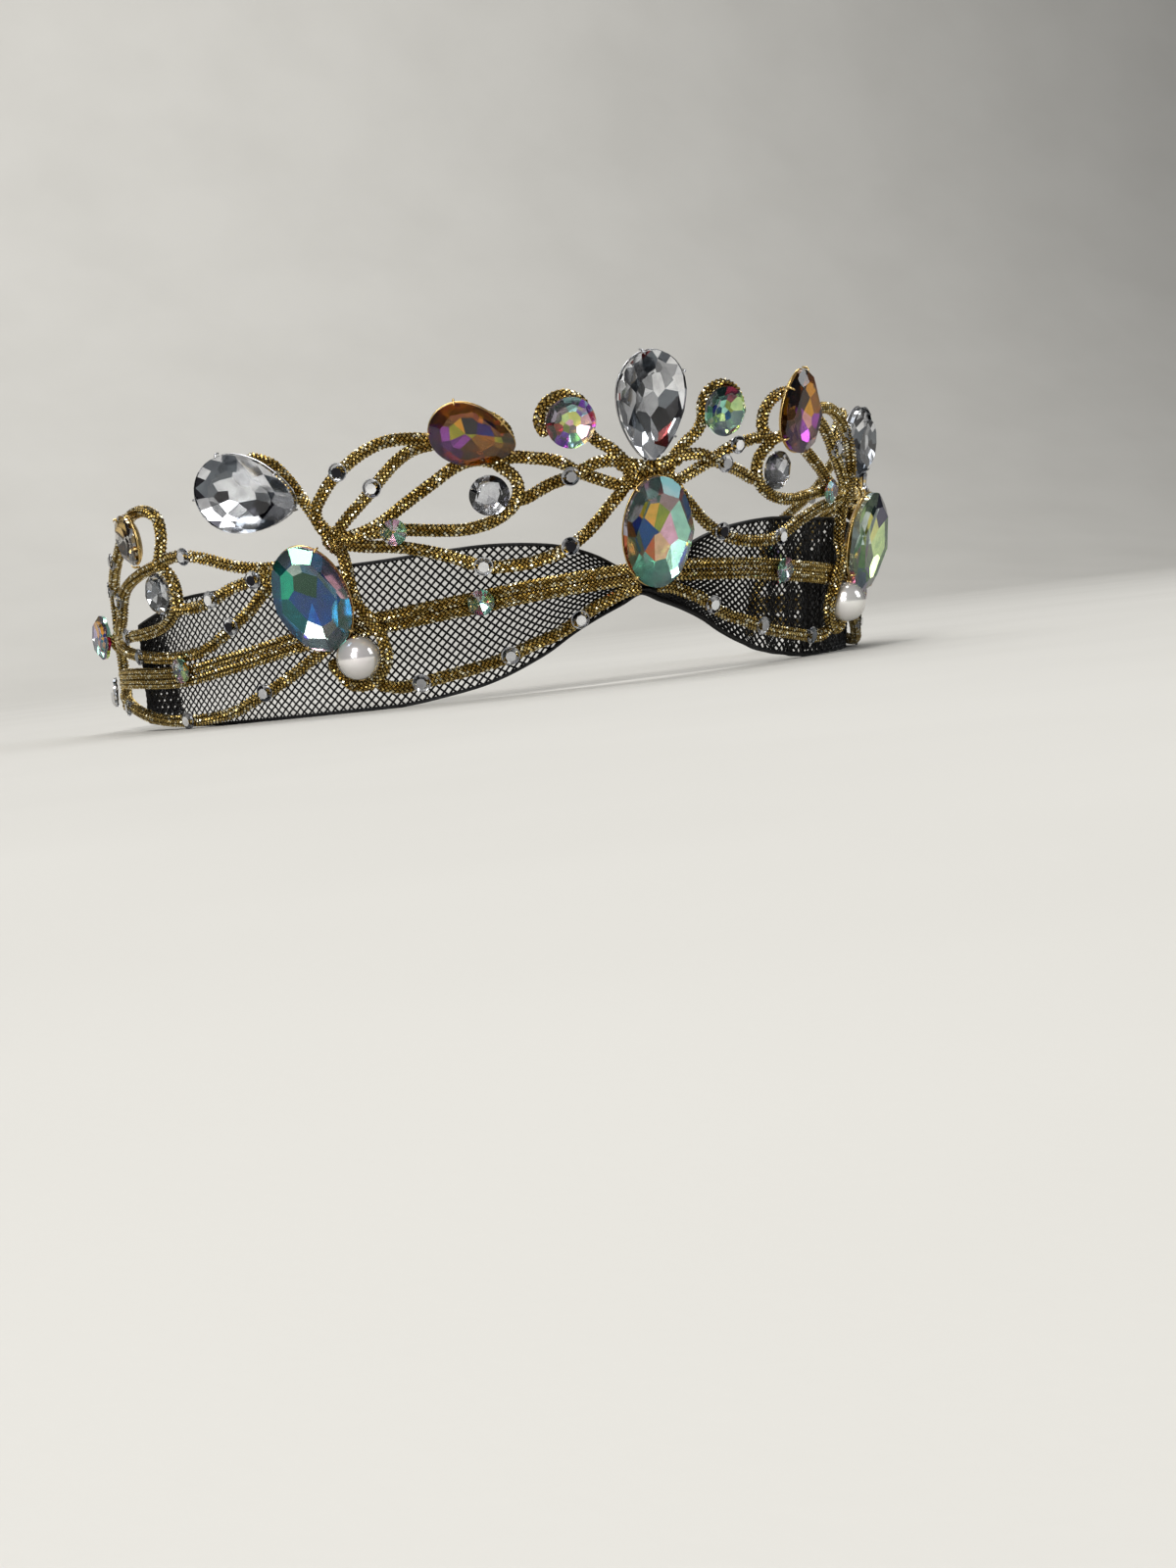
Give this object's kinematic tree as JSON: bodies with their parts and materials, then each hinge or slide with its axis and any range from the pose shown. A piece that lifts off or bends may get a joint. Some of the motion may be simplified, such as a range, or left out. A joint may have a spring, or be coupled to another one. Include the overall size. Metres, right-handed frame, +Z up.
{
  "type": "ballet tiara",
  "caption": "Open-backed tiara of braided gold cord bent into loops and scallops, set with cut stones and pearls over a band of black net.",
  "frame": {"origin": "on the surface that the tiara stands on, below the middle of its bounding box", "axes": "+Z up, front toward -Y, +X to the right of someone who looks at the front"},
  "size_m": [0.1672, 0.1158, 0.0598],
  "materials": {
    "gold_cord": "bright metallic braid over wire, small glass crystals glued on",
    "gold_claw": "polished",
    "silver_claw": "polished",
    "ab_glass": "cut glass with a rainbow coating",
    "amber_glass": "cut amber glass with a violet coating",
    "smoky_glass": "cut smoky glass, foil back",
    "clear_glass": "cut clear glass, foil back",
    "champagne_glass": "cut champagne glass, foil back",
    "pearl_coat": "pearl coating",
    "black_net": "open diamond horsehair net"
  },
  "bodies": {
    "root": {"ab_oval_left": "ab_glass", "ab_oval_left_setting": "gold_claw", "ab_oval_right": "ab_glass", "ab_oval_right_setting": "gold_claw", "ab_round_left": "ab_glass", "ab_round_right": "ab_glass", "amber_teardrop_left": "amber_glass", "amber_teardrop_left_setting": "gold_claw", "amber_teardrop_right": "amber_glass", "amber_teardrop_right_setting": "gold_claw", "centre_knot": "gold_cord", "centre_oval": "ab_glass", "centre_oval_setting": "gold_claw", "centre_teardrop": "clear_glass", "centre_teardrop_setting": "silver_claw", "champagne_teardrop_left": "champagne_glass", "champagne_teardrop_left_setting": "gold_claw", "champagne_teardrop_right": "champagne_glass", "champagne_teardrop_right_setting": "gold_claw", "clear_teardrop_left": "clear_glass", "clear_teardrop_left_setting": "silver_claw", "clear_teardrop_right": "clear_glass", "clear_teardrop_right_setting": "silver_claw", "crossing_cords_left": "gold_cord", "crossing_cords_right": "gold_cord", "end_ab_round_left": "ab_glass", "end_ab_round_right": "ab_glass", "end_clear_round_left": "clear_glass", "end_clear_round_right": "clear_glass", "end_foot_round_left": "clear_glass", "end_foot_round_right": "clear_glass", "end_spray_left": "gold_cord", "end_spray_right": "gold_cord", "lower_scallop_left": "gold_cord", "lower_scallop_right": "gold_cord", "net_band": "black_net", "outer_chaton_left": "ab_glass", "outer_chaton_right": "ab_glass", "outer_fan_left": "gold_cord", "outer_fan_right": "gold_cord", "outer_scallop_left": "gold_cord", "outer_scallop_right": "gold_cord", "pearl_left": "pearl_coat", "pearl_loop_left": "gold_cord", "pearl_loop_right": "gold_cord", "pearl_right": "pearl_coat", "rail_chaton_left": "ab_glass", "rail_chaton_right": "ab_glass", "rail_lower": "gold_cord", "rail_upper": "gold_cord", "side_spray_left": "gold_cord", "side_spray_right": "gold_cord", "smoky_round_left": "smoky_glass", "smoky_round_right": "smoky_glass", "upper_chaton_left": "ab_glass", "upper_chaton_right": "ab_glass"}
  },
  "joints": []
}
